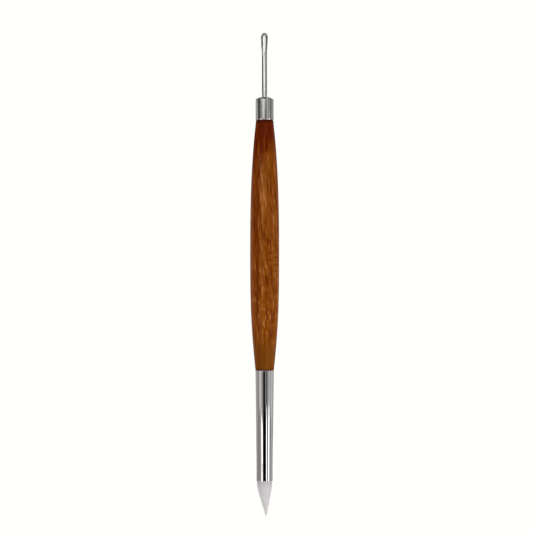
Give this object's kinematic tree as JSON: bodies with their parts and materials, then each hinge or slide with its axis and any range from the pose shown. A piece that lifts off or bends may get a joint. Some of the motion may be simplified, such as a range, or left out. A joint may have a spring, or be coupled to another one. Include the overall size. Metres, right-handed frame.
{
  "type": "clay modeling tool",
  "caption": "Slim double-ended clay modelling tool: a turned hardwood grip with a small steel scoop on a wire rod at one end and a soft silicone point in a long chromed ferrule at the other.",
  "frame": {"origin": "on the tool's long axis at half its length, inside the grip", "axes": "+Z along the long axis towards the steel scoop, -Z towards the silicone point; the open face of the scoop looks towards -Y; the silicone point leans very slightly towards +X"},
  "size_m": [0.01, 0.01, 0.165],
  "materials": {
    "lacquered_hardwood": "red-brown hardwood, stained darker towards the scoop end, clear gloss lacquer",
    "nickel_plate": "bright nickel plate on thin brass tube, fine turning lines",
    "polished_steel": "bright drawn stainless wire, polished",
    "chrome_plate": "mirror chrome on thin brass tube",
    "white_silicone": "translucent white silicone, soft satin",
    "cured_adhesive": "cured clear-amber epoxy"
  },
  "bodies": {
    "root": {"handle": "lacquered_hardwood", "collar": "nickel_plate", "scoop_rod": "polished_steel", "long_ferrule": "chrome_plate", "silicone_tip": "white_silicone", "rod_bond": "cured_adhesive", "collar_bond": "cured_adhesive", "ferrule_bond": "cured_adhesive", "tip_bond": "cured_adhesive"}
  },
  "joints": []
}
